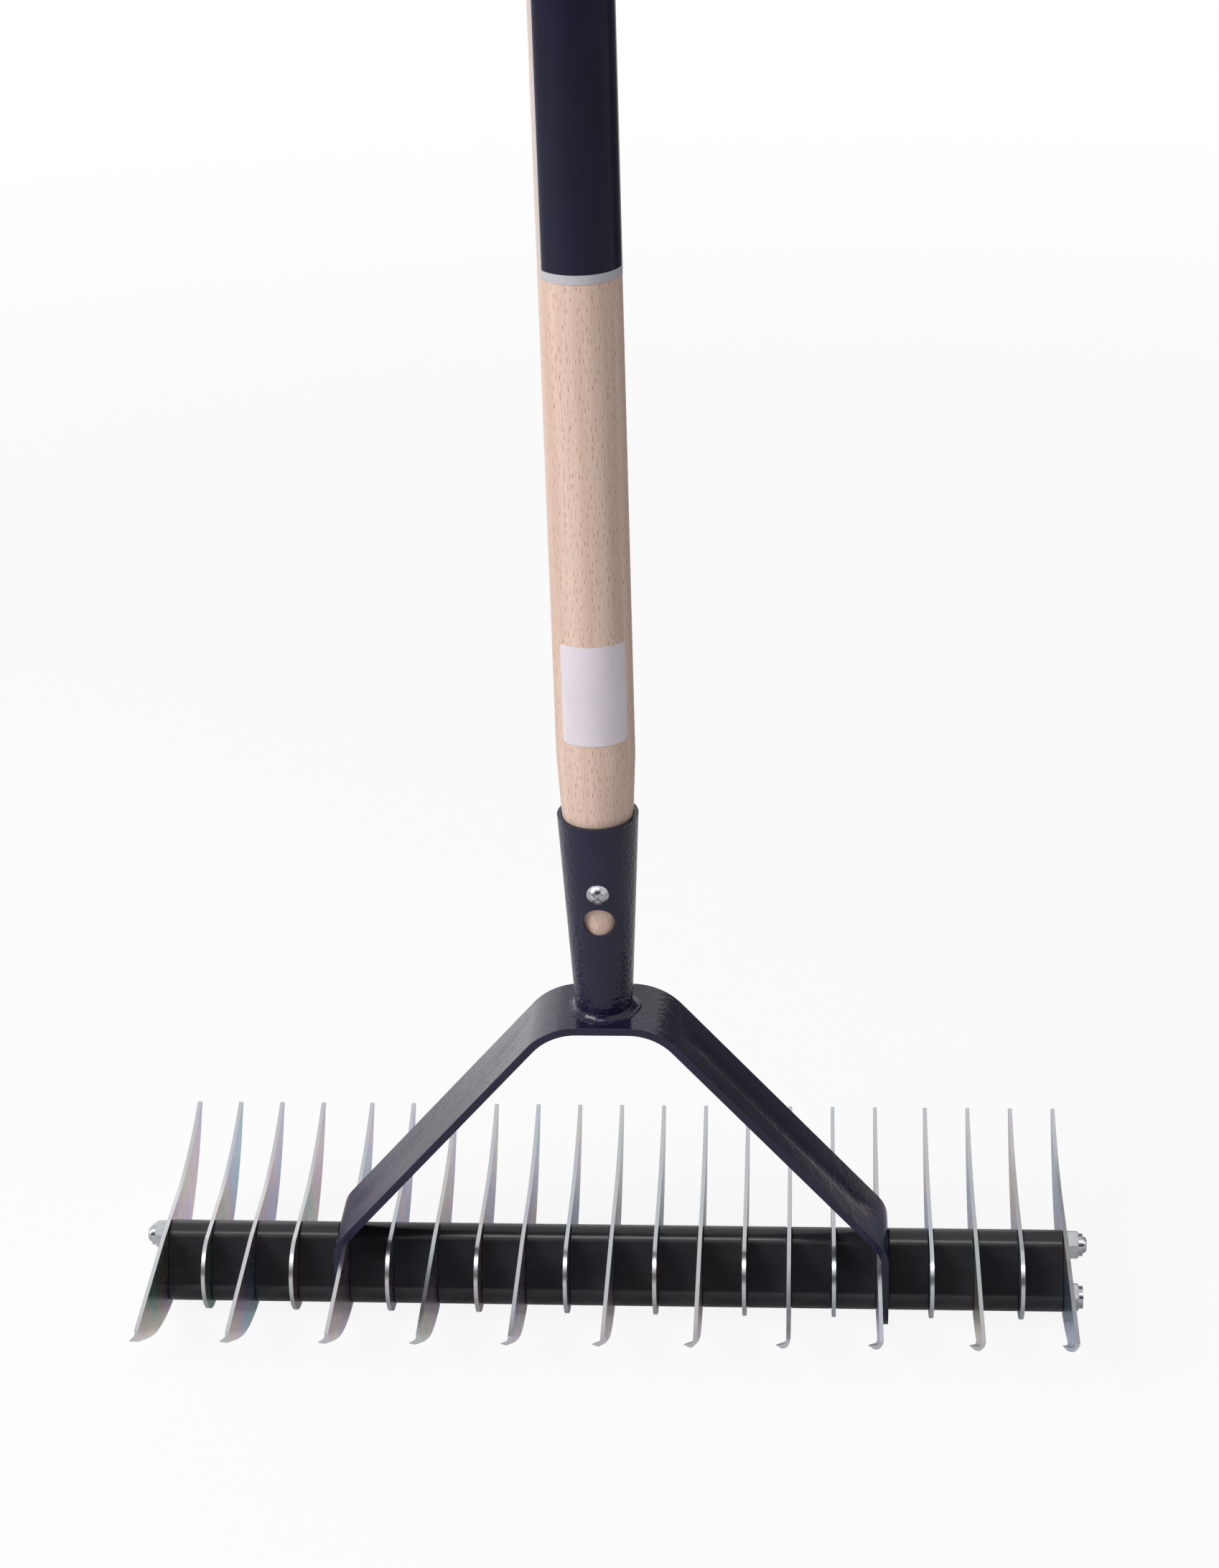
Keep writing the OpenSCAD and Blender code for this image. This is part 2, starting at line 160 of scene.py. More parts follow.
class Graph:
    """A node tree that is written as expressions."""

    def __init__(self, tree: bpy.types.NodeTree) -> None:
        """Takes over a tree and empties it."""
        self.tree = tree
        tree.nodes.clear()

    def node(
        self,
        kind: str,
        settings: Optional[dict[str, Any]] = None,
        inputs: Optional[dict[Union[str, int], Any]] = None,
    ) -> bpy.types.Node:
        """Adds a node, sets it up and then feeds its sockets.

        Args:
            kind: The node's type.
            settings: Its own properties, which are set first.
            inputs: Socket values or signals by socket name or number.

        Returns:
            The new node.
        """
        made = self.tree.nodes.new(kind)
        for key, value in (settings or {}).items():
            setattr(made, key, value)
        for key, value in (inputs or {}).items():
            self.feed(made.inputs[key], value)
        return made

    def feed(self, socket: bpy.types.NodeSocket, value: Any) -> None:
        """Links a signal to a socket, or sets a plain value on it.

        Args:
            socket: The socket.
            value: The signal or the plain value.
        """
        if isinstance(value, Signal):
            self.tree.links.new(value.socket, socket)
        else:
            socket.default_value = value

    def math(self, operation: str, *values: Number) -> Signal:
        """Adds a Math node.

        Args:
            operation: What it works out.
            *values: Up to three values or signals.

        Returns:
            The result.
        """
        made = self.node(
            "ShaderNodeMath", {"operation": operation}, dict(enumerate(values))
        )
        return Signal(self, made.outputs[0])

    def join(self, x: Number, y: Number, z: Number) -> Signal:
        """A vector from its three parts."""
        made = self.node("ShaderNodeCombineXYZ", None, {0: x, 1: y, 2: z})
        return Signal(self, made.outputs[0])

    def rays(self) -> tuple[Signal, Signal, Signal]:
        """Tells which rays arrive.

        Returns:
            1 for the camera's rays, for mirrored ones and for those through glass.
        """
        path = self.node("ShaderNodeLightPath")
        kinds = ("Is Camera Ray", "Is Glossy Ray", "Is Transmission Ray")
        return tuple(Signal(self, path.outputs[kind]) for kind in kinds)


class Material(Graph):
    """A material's graph with a principled shader at its end."""

    def __init__(self, name: str) -> None:
        """Starts an empty material.

        Args:
            name: The finish's name.
        """
        self.made = bpy.data.materials.new(name)
        self.made.use_nodes = True
        super().__init__(self.made.node_tree)
        self.shader = self.node("ShaderNodeBsdfPrincipled")
        self.end = self.node("ShaderNodeOutputMaterial")
        self.tree.links.new(self.shader.outputs["BSDF"], self.end.inputs["Surface"])

    def place(self) -> Signal:
        """The point on the piece, in metres."""
        return Signal(self, self.node("ShaderNodeTexCoord").outputs["Object"])

    def facing(self) -> Signal:
        """The direction that the surface faces."""
        return Signal(self, self.node("ShaderNodeNewGeometry").outputs["True Normal"])

    def split(self, vector: Signal) -> tuple[Signal, Signal, Signal]:
        """The three parts of a vector."""
        made = self.node("ShaderNodeSeparateXYZ", None, {0: vector})
        return tuple(Signal(self, socket) for socket in made.outputs)

    def scale(self, vector: Signal, by: Triple) -> Signal:
        """A vector multiplied part by part."""
        made = self.node(
            "ShaderNodeVectorMath", {"operation": "MULTIPLY"}, {0: vector, 1: by}
        )
        return Signal(self, made.outputs[0])

    def noise(
        self, vector: Signal, scale: float, detail: float = 2.0, rough: float = 0.5
    ) -> Signal:
        """Soft random value.

        Args:
            vector: Where it is read.
            scale: How many cells there are per unit.
            detail: How many finer layers are added.
            rough: How strong the finer layers are.

        Returns:
            A value from 0 to 1 around one half.
        """
        made = self.node(
            "ShaderNodeTexNoise",
            {"noise_dimensions": "3D"},
            {"Vector": vector, "Scale": scale, "Detail": detail, "Roughness": rough},
        )
        return Signal(self, made.outputs["Fac"])

    def cells(self, vector: Signal) -> tuple[Signal, Signal]:
        """Random points in the plane.

        Args:
            vector: Where they are read, one point per unit square.

        Returns:
            The nearest point and its random colour.
        """
        made = self.node(
            "ShaderNodeTexVoronoi",
            {"voronoi_dimensions": "2D", "feature": "F1"},
            {"Vector": vector, "Scale": 1.0, "Randomness": 0.9},
        )
        return Signal(self, made.outputs["Position"]), Signal(self, made.outputs["Color"])

    def mix(
        self, share: Number, first: Union[Colour, Signal], second: Union[Colour, Signal]
    ) -> Signal:
        """Blends two colours.

        Args:
            share: How much of the second colour shows.
            first: Colour where the share is 0.
            second: Colour where the share is 1.

        Returns:
            The blended colour.
        """
        made = self.node(
            "ShaderNodeMix",
            {"data_type": "RGBA", "clamp_factor": True},
            {0: share, 6: first, 7: second},
        )
        return Signal(self, made.outputs[2])

    def ramp(self, share: Signal, stops: Sequence[tuple[float, Colour]]) -> Signal:
        """A run of colours.

        Args:
            share: Place along the run, from 0 to 1.
            stops: Places with their colours.

        Returns:
            The colour at that place.
        """
        made = self.node("ShaderNodeValToRGB", None, {"Fac": share})
        elements = made.color_ramp.elements
        made.color_ramp.interpolation = "EASE"
        while len(elements) < len(stops):
            elements.new(0.5)
        for element, (at, colour) in zip(elements, stops):
            element.position = at
            element.color = colour
        return Signal(self, made.outputs["Color"])

    def bump(self, height: Signal, depth: float, strength: float = 1.0) -> Signal:
        """A relief for the Normal input.

        Args:
            height: Height from 0 to 1.
            depth: Depth of the relief in metres.
            strength: How much of it shows.

        Returns:
            The bent normal.
        """
        made = self.node(
            "ShaderNodeBump", None, {"Height": height, "Distance": depth, "Strength": strength}
        )
        return Signal(self, made.outputs["Normal"])

    def shade(self, **inputs: Any) -> bpy.types.Material:
        """Feeds the principled shader.

        Args:
            **inputs: Socket values, with an underscore for each space.

        Returns:
            The finished material.
        """
        for name, value in inputs.items():
            self.feed(self.shader.inputs[name.replace("_", " ")], value)
        return self.made


class Form(Graph):
    """A geometry tree with named sizes."""

    def __init__(self, name: str) -> None:
        """Starts an empty tree that takes and gives geometry.

        Args:
            name: The tree's name.
        """
        super().__init__(bpy.data.node_groups.new(name, "GeometryNodeTree"))
        for way in ("INPUT", "OUTPUT"):
            self.tree.interface.new_socket(
                "Geometry", in_out=way, socket_type="NodeSocketGeometry"
            )
        self.start = self.node("NodeGroupInput")
        self.end = self.node("NodeGroupOutput")
        self.sizes: dict[str, float] = {}

    def size(self, name: str, value: float) -> Signal:
        """Adds a named size.

        Args:
            name: The input's name.
            value: Its value on the piece.

        Returns:
            The size inside the tree.
        """
        socket = self.tree.interface.new_socket(
            name, in_out="INPUT", socket_type="NodeSocketFloat"
        )
        self.sizes[socket.identifier] = value
        return Signal(self, self.start.outputs[name])

    def index(self) -> Signal:
        """The number of a point."""
        return Signal(self, self.node("GeometryNodeInputIndex").outputs[0])

    def set_on(self, shape: Signal, count: int, place: Signal, turn: Signal) -> Signal:
        """Sets one shape on several points.

        Args:
            shape: The shape.
            count: How many points there are.
            place: Where each point lies.
            turn: How the shape is turned there.

        Returns:
            The placed shapes.
        """
        points = self.node("GeometryNodePoints", None, {"Count": count, "Position": place})
        made = self.node(
            "GeometryNodeInstanceOnPoints",
            None,
            {
                "Points": Signal(self, points.outputs[0]),
                "Instance": shape,
                "Rotation": turn,
            },
        )
        return Signal(self, made.outputs[0])

    def shape(
        self, piece: bpy.types.Object, made: Signal, finish: bpy.types.Material
    ) -> bpy.types.Object:
        """Ends the tree and turns it into a piece's mesh.

        Args:
            piece: The piece that the tree shapes.
            made: The geometry at the end of the tree.
            finish: The material that it gets.

        Returns:
            The piece with a plain mesh.
        """
        real = self.node("GeometryNodeRealizeInstances", None, {0: made})
        dressed = self.node(
            "GeometryNodeSetMaterial",
            None,
            {"Geometry": Signal(self, real.outputs[0]), "Material": finish},
        )
        self.tree.links.new(dressed.outputs[0], self.end.inputs[0])
        modifier = piece.modifiers.new(self.tree.name, "NODES")
        modifier.node_group = self.tree
        for identifier, value in self.sizes.items():
            modifier[identifier] = value
        return baked(piece)


@dataclass(frozen=True)
class Beech:
    """Bare beech with short brown pores along the grain."""

    radius: float = 0.014
    pale: Colour = tint(224, 197, 182)
    warm: Colour = tint(210, 179, 162)
    pore: Colour = tint(146, 94, 68)
    pore_gap: float = 0.0015
    pore_row: float = 0.0034
    pore_half_width: float = 0.00012
    pore_half_length: float = 0.24
    broad_cells: Triple = (190.0, 5.0, 1.0)
    fine_cells: Triple = (1500.0, 30.0, 1.0)
    sway_cells: Triple = (30.0, 12.0, 1.0)
    sway_width: float = 1.2
    least_rough: float = 0.5
    more_rough: float = 0.12
    gloss: float = 0.35
    depth: float = 0.00012

    def make(self) -> bpy.types.Material:
        """Builds the material.

        Returns:
            The finished material.
        """
        m = Material("beech")
        x, y, z = m.split(m.place())
        round_way = m.math("ARCTAN2", x, -y) * self.radius
        plane = m.join(round_way, z, 0.0)
        broad = m.noise(m.scale(plane, self.broad_cells), 1.0, 3.0, 0.55)
        fine = m.noise(m.scale(plane, self.fine_cells), 1.0, 2.0, 0.6)
        sway = m.noise(m.scale(plane, self.sway_cells), 1.0, 1.0) * self.sway_width
        across = round_way / self.pore_gap + sway
        along = z / self.pore_row
        point, chance = m.cells(m.join(across, along, 0.0))
        point_x, point_y, _ = m.split(point)
        size, depth, _ = m.split(chance)
        side = (across - point_x) * (self.pore_gap / self.pore_half_width)
        length = (along - point_y) / (self.pore_half_length + size * self.pore_half_length)
        spot = (side * side + length * length).step(1.25, 0.35)
        pores = spot * (depth * 0.75 + 0.15)
        base = m.mix(broad.step(0.3, 0.72), self.pale, self.warm)
        base = m.mix(fine.step(0.55, 0.85) * 0.28, base, self.pore)
        colour = m.mix(pores, base, self.pore)
        relief = fine * 0.35 - pores * 0.5
        return m.shade(
            Base_Color=colour,
            Roughness=broad * self.more_rough + self.least_rough,
            Specular_IOR_Level=self.gloss,
            Normal=m.bump(relief, self.depth, 0.6),
        )


@dataclass(frozen=True)
class NavyPaint:
    """Glossy navy paint with the fine dimples of a sprayed coat."""

    body: Colour = tint(20, 19, 47)
    thin: Colour = tint(27, 26, 54)
    dimple: float = 0.0014
    depth: float = 0.0003
    smooth_below: float = 0.132
    smooth_rise: float = 0.006
    drift_cells: float = 46.0
    run_cells: float = 170.0
    least_rough: float = 0.13
    more_rough: float = 0.1
    gloss: float = 0.36

    def make(self) -> bpy.types.Material:
        """Builds the material.

        Returns:
            The finished material.
        """
        m = Material("navy_paint")
        at = m.place()
        dimples = m.noise(at, 1.0 / self.dimple, 1.0, 0.4)
        drift = m.noise(at, self.drift_cells, 3.0, 0.6)
        runs = m.noise(at, self.run_cells, 2.0, 0.5)
        colour = m.mix(drift.step(0.3, 0.75) * 0.7, self.body, self.thin)
        _, _, height = m.split(at)
        rise = height.step(self.smooth_below, self.smooth_below + self.smooth_rise)
        hammer = rise * 0.7 + 0.3
        relief = dimples * hammer + runs * 0.4
        return m.shade(
            Base_Color=colour,
            Roughness=drift * self.more_rough + self.least_rough,
            Specular_IOR_Level=self.gloss,
            Normal=m.bump(relief, self.depth, 1.0),
        )


@dataclass(frozen=True)
class PassivatedZinc:
    """Zinc with the shifting pale colours of its passivation, and bare cut edges."""

    steel: Colour = tint(188, 190, 193)
    stops: tuple[tuple[float, Colour], ...] = (
        (0.00, tint(154, 190, 200)),
        (0.24, tint(166, 188, 210)),
        (0.42, tint(186, 178, 210)),
        (0.56, tint(206, 180, 194)),
        (0.72, tint(204, 196, 176)),
        (1.00, tint(160, 194, 188)),
    )
    film_cells: Triple = (60.0, 20.0, 24.0)
    film_span: float = 2.6
    film_start: float = 0.8
    cloud_cells: Triple = (150.0, 110.0, 120.0)
    scratch_cells: Triple = (300.0, 90.0, 2400.0)
    least_rough: float = 0.2
    more_rough: float = 0.16
    scratch_rough: float = 0.1
    depth: float = 0.000015

    def make(self) -> bpy.types.Material:
        """Builds the material.

        Returns:
            The finished material.
        """
        m = Material("passivated_zinc")
        at = m.place()
        facing_x, _, _ = m.split(m.facing())
        flat = abs(facing_x).step(0.45, 0.75)
        film = m.noise(m.scale(at, self.film_cells), 1.0, 2.0, 0.5)
        cloud = m.noise(m.scale(at, self.cloud_cells), 1.0, 3.0, 0.6)
        scratch = m.noise(m.scale(at, self.scratch_cells), 1.0, 2.0, 0.55)
        along = film * self.film_span - self.film_start
        hue = m.ramp(along + (cloud - 0.5) * 0.16, self.stops)
        edge = m.mix(cloud.step(0.35, 0.7) * 0.25, self.steel, hue)
        colour = m.mix(flat, edge, hue)
        rough = self.least_rough + cloud * self.more_rough
        rough = rough + (scratch - 0.5) * self.scratch_rough
        return m.shade(
            Base_Color=colour,
            Metallic=1.0,
            Roughness=rough,
            Normal=m.bump(scratch * 0.4 + cloud * 0.6, self.depth, 0.5),
        )


@dataclass(frozen=True)
class BrightZinc:
    """Bright zinc plate on the nuts, rods and screw."""

    bright: Colour = tint(184, 186, 190)
    dull: Colour = tint(146, 149, 154)
    cloud_cells: float = 420.0
    grain_cells: float = 3200.0
    least_rough: float = 0.14
    more_rough: float = 0.12
    depth: float = 0.000006

    def make(self) -> bpy.types.Material:
        """Builds the material.

        Returns:
            The finished material.
        """
        m = Material("bright_zinc")
        at = m.place()
        cloud = m.noise(at, self.cloud_cells, 3.0, 0.6)
        grain = m.noise(at, self.grain_cells, 2.0, 0.6)
        return m.shade(
            Base_Color=m.mix(cloud.step(0.4, 0.75) * 0.7, self.bright, self.dull),
            Metallic=1.0,
            Roughness=cloud * self.more_rough + self.least_rough,
            Normal=m.bump(grain * 0.2 + cloud, self.depth, 0.4),
        )


@dataclass(frozen=True)
class BlackPlastic:
    """Satin black moulded plastic."""

    deep: Colour = tint(36, 35, 39)
    worn: Colour = tint(50, 49, 53)
    cloud_cells: Triple = (50.0, 120.0, 120.0)
    scuff_cells: Triple = (900.0, 160.0, 160.0)
    grain_cells: float = 2400.0
    least_rough: float = 0.16
    more_rough: float = 0.12
    scuff_rough: float = 0.1
    gloss: float = 0.3
    depth: float = 0.00005

    def make(self) -> bpy.types.Material:
        """Builds the material.

        Returns:
            The finished material.
        """
        m = Material("black_plastic")
        at = m.place()
        cloud = m.noise(m.scale(at, self.cloud_cells), 1.0, 3.0, 0.6)
        grain = m.noise(at, self.grain_cells, 2.0, 0.55)
        scuff = m.noise(m.scale(at, self.scuff_cells), 1.0, 2.0, 0.6).step(0.64, 0.8)
        return m.shade(
            Base_Color=m.mix(cloud.step(0.35, 0.8) * 0.5 + scuff * 0.3, self.deep, self.worn),
            Roughness=cloud * self.more_rough + self.least_rough + scuff * self.scuff_rough,
            Specular_IOR_Level=self.gloss,
            Normal=m.bump(grain * 0.5 + cloud, self.depth, 0.5),
        )


@dataclass(frozen=True)
class BandFilm:
    """Glossy navy film with a silver border, wrapped round the handle."""

    low: float
    high: float
    face: float
    half_turn: float
    radius: float
    side_border: float = 0.0017
    end_border: float = 0.0031
    border_blur: float = 0.00012
    navy: Colour = tint(17, 15, 42)
    dark: Colour = tint(12, 10, 30)
    silver: Colour = tint(186, 184, 190)
    cloud_cells: Triple = (60.0, 60.0, 20.0)
    grain_cells: float = 1800.0
    least_rough: float = 0.2
    more_rough: float = 0.1
    border_rough: float = 0.12
    gloss: float = 0.25
    depth: float = 0.00003

    def make(self) -> bpy.types.Material:
        """Builds the material.

        Returns:
            The finished material.
        """
        m = Material("band_label_film")
        at = m.place()
        x, y, z = m.split(at)
        turned = m.math("ARCTAN2", x, -y) - self.face
        side = (self.half_turn - abs(turned)) * self.radius - self.side_border
        end = (z - self.low).least(self.high - z) - self.end_border
        border = side.least(end).step(self.border_blur, -self.border_blur)
        cloud = m.noise(m.scale(at, self.cloud_cells), 1.0, 3.0, 0.55)
        grain = m.noise(at, self.grain_cells, 2.0, 0.5)
        film = m.mix(cloud.step(0.3, 0.75), self.navy, self.dark)
        return m.shade(
            Base_Color=m.mix(border, film, self.silver),
            Roughness=cloud * self.more_rough + self.least_rough + border * self.border_rough,
            Specular_IOR_Level=self.gloss,
            Normal=m.bump(grain * 0.5 + border * 0.3, self.depth, 0.5),
        )


@dataclass(frozen=True)
class LabelPaper:
    """Bare off-white label paper."""

    white: Colour = tint(225, 216, 222)
    grey: Colour = tint(211, 202, 209)
    cloud_cells: Triple = (90.0, 90.0, 40.0)
    fibre_cells: Triple = (2600.0, 2600.0, 900.0)
    least_rough: float = 0.42
    more_rough: float = 0.1
    gloss: float = 0.4
    depth: float = 0.00003

    def make(self) -> bpy.types.Material:
        """Builds the material.

        Returns:
            The finished material.
        """
        m = Material("small_label_paper")
        at = m.place()
        cloud = m.noise(m.scale(at, self.cloud_cells), 1.0, 3.0, 0.6)
        fibre = m.noise(m.scale(at, self.fibre_cells), 1.0, 2.0, 0.6)
        return m.shade(
            Base_Color=m.mix(cloud.step(0.3, 0.75) * 0.6 + fibre * 0.2, self.white, self.grey),
            Roughness=cloud * self.more_rough + self.least_rough,
            Specular_IOR_Level=self.gloss,
            Normal=m.bump(fibre, self.depth, 0.4),
        )


class Finish(Enum):
    """The finishes by the record's material slots."""

    BEECH = "beech"
    BAND = "band_label_film"
    PAPER = "small_label_paper"
    PAINT = "navy_paint"
    BRIGHT = "bright_zinc"
    PASSIVATED = "passivated_zinc"
    PLASTIC = "black_plastic"


class Palette:
    """Makes each finish once and puts it on pieces."""

    def __init__(self, band: BandFilm) -> None:
        """Lists the finishes.

        Args:
            band: The film of the handle's band label.
        """
        self.recipes: dict[Finish, Any] = {
            Finish.BEECH: Beech(),
            Finish.BAND: band,
            Finish.PAPER: LabelPaper(),
            Finish.PAINT: NavyPaint(),
            Finish.BRIGHT: BrightZinc(),
            Finish.PASSIVATED: PassivatedZinc(),
            Finish.PLASTIC: BlackPlastic(),
        }
        self.made: dict[Finish, bpy.types.Material] = {}

    def get(self, finish: Finish) -> bpy.types.Material:
        """Makes a finish when it is first asked for.

        Args:
            finish: The finish.

        Returns:
            Its material.
        """
        if finish not in self.made:
            self.made[finish] = self.recipes[finish].make()
        return self.made[finish]

    def dress(self, piece: bpy.types.Object, finish: Finish) -> None:
        """Gives a piece one finish all over.

        Args:
            piece: The piece.
            finish: The finish.
        """
        piece.data.materials.clear()
        piece.data.materials.append(self.get(finish))


def baked(piece: bpy.types.Object) -> bpy.types.Object:
    """Turns a piece's modifiers into plain mesh.

    Args:
        piece: The piece with its modifiers.

    Returns:
        The same piece without them.
    """
    graph = bpy.context.evaluated_depsgraph_get()
    mesh = bpy.data.meshes.new_from_object(
        piece.evaluated_get(graph), preserve_all_data_layers=True, depsgraph=graph
    )
    piece.modifiers.clear()
    old = piece.data
    piece.data = mesh
    bpy.data.meshes.remove(old)
    return piece


def seated(piece: bpy.types.Object, *nodes: str) -> bpy.types.Object:
    """Lets a piece ride on the rake and stand for CAD nodes.

    Args:
        piece: The finished piece.
        *nodes: The nodes that it stands for.

    Returns:
        The same piece.
    """
    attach(piece, BODY)
    if nodes:
        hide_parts(*nodes)
    return piece


def placed(name: str, mesh: bpy.types.Mesh) -> bpy.types.Object:
    """Puts a mesh into the scene as a new piece.

    Args:
        name: The piece's name.
        mesh: Its mesh.

    Returns:
        The piece.
    """
    piece = bpy.data.objects.new(name, mesh)
    bpy.context.scene.collection.objects.link(piece)
    return piece


@dataclass(frozen=True)
class Edge:
    """How a piece's edges are rounded: width in metres, and the angle from which they are."""

    width: float
    sharp: float


def softened(
    node: str,
    name: str,
    edge: Edge,
    keep: Optional[Callable[[Vector], bool]] = None,
    shift: Triple = (0.0, 0.0, 0.0),
) -> bpy.types.Object:
    """Copies a CAD node, or a part of it, with its sharp edges rounded.

    Args:
        node: The CAD node.
        name: The new piece's name.
        edge: How its edges are rounded.
        keep: Says which points stay; all of them do if it is left out.
        shift: How far the copy is moved.

    Returns:
        The new piece, which rides on nothing yet.
    """
    mesh = bpy.data.meshes.new(name)
    shape = bmesh.new()
    shape.from_mesh(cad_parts[node].data)
    if keep:
        gone = [point for point in shape.verts if not keep(point.co)]
        bmesh.ops.delete(shape, geom=gone, context="VERTS")
    bmesh.ops.translate(shape, verts=shape.verts, vec=shift)
    bmesh.ops.remove_doubles(shape, verts=shape.verts, dist=MERGE_DISTANCE)
    bmesh.ops.dissolve_limit(
        shape, angle_limit=FLAT_ANGLE, verts=shape.verts, edges=shape.edges
    )
    sharp = math.radians(edge.sharp)
    for face in shape.faces:
        face.smooth = True
    for line in shape.edges:
        line.smooth = line.calc_face_angle(0.0) < sharp
    shape.to_mesh(mesh)
    shape.free()
    for layer in ("custom_normal", "normal"):
        if layer in mesh.attributes:
            mesh.attributes.remove(mesh.attributes[layer])
    piece = placed(name, mesh)
    round_off = piece.modifiers.new("round_off", "BEVEL")
    round_off.width = edge.width
    round_off.segments = 2
    round_off.limit_method = "ANGLE"
    round_off.angle_limit = sharp
    round_off.miter_outer = "MITER_ARC"
    level = piece.modifiers.new("level", "WEIGHTED_NORMAL")
    level.keep_sharp = True
    return baked(piece)


def soft_copy(node: str, name: str, edge: Edge) -> bpy.types.Object:
    """Copies a CAD node with rounded edges, and stands in for it."""
    return seated(softened(node, name, edge), node)


def turned_mesh(name: str, profiles: Sequence[Sequence[tuple[float, float]]]) -> bpy.types.Mesh:
    """Joins closed profiles round the handle's axis into one ring.

    Args:
        name: The mesh's name.
        profiles: One profile of (radius, height) points for each step round the axis.

    Returns:
        The closed mesh with smooth faces that point outwards.
    """
    mesh = bpy.data.meshes.new(name)
    shape = bmesh.new()
    rings = []
    for number, profile in enumerate(profiles):
        angle = 2 * math.pi * number / len(profiles)
        rings.append(
            [shape.verts.new((r * math.cos(angle), r * math.sin(angle), z)) for r, z in profile]
        )
    for first, second in zip(rings, rings[1:] + rings[:1]):
        for a, b, c, d in zip(first, second, second[1:] + second[:1], first[1:] + first[:1]):
            shape.faces.new((a, b, c, d)).smooth = True
    bmesh.ops.recalc_face_normals(shape, faces=shape.faces)
    shape.to_mesh(mesh)
    shape.free()
    return mesh


@dataclass
class Handle:
    """The round handle with its two labels."""

    radius: float = 0.014
    band_low: float = 0.412
    band_high: float = 0.552
    band_face: float = math.radians(11.5)
    band_half_turn: float = math.radians(76.0)
    band_steps: int = 96
    band_sharp: float = 0.5
    wood_edge: Edge = Edge(0.0004, 40.0)
    tag_edge: Edge = Edge(0.00004, 50.0)
    pieces: dict[str, bpy.types.Object] = field(default_factory=dict)

    def film(self) -> BandFilm:
        """The band label's film at its place on the handle."""
        return BandFilm(
            self.band_low, self.band_high, self.band_face, self.band_half_turn, self.radius
        )

    def band(self) -> bpy.types.Object:
        """Wraps the band label's film round the handle.

        Returns:
            The closed film, which stands for the CAD label.
        """
        low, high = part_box("band_label")
        outside = max(-low[1], high[0])
        mesh = bpy.data.meshes.new("band_film")
        shape = bmesh.new()
        rows = []
        for step in range(self.band_steps + 1):
            turn = self.band_face + self.band_half_turn * (2 * step / self.band_steps - 1)
            way = Vector((math.sin(turn), -math.cos(turn), 0.0))
            rows.append([
                shape.verts.new(way * r + Vector((0.0, 0.0, z)))
                for r, z in (
                    (self.radius, self.band_low),
                    (outside, self.band_low),
                    (outside, self.band_high),
                    (self.radius, self.band_high),
                )
            ])
        for first, second in zip(rows, rows[1:]):
            for a, b, c, d in zip(first, second, second[1:] + second[:1], first[1:] + first[:1]):
                shape.faces.new((a, b, c, d))
        shape.faces.new(rows[0])
        shape.faces.new(rows[-1])
        bmesh.ops.recalc_face_normals(shape, faces=shape.faces)
        for face in shape.faces:
            face.smooth = True
        for edge in shape.edges:
            edge.smooth = edge.calc_face_angle(0.0) < self.band_sharp
        shape.to_mesh(mesh)
        shape.free()
        return seated(placed("band_film", mesh), "band_label")

    def build(self) -> None:
        """Makes the handle and the labels."""
        self.pieces["handle"] = soft_copy("handle", "wood_handle", self.wood_edge)
        self.pieces["band"] = self.band()
        self.pieces["tag"] = soft_copy("small_label", "bare_tag", self.tag_edge)

    def dress(self, palette: Palette) -> None:
        """Puts the finishes on.

        Args:
            palette: The finishes.
        """
        palette.dress(self.pieces["handle"], Finish.BEECH)
        palette.dress(self.pieces["band"], Finish.BAND)
        palette.dress(self.pieces["tag"], Finish.PAPER)


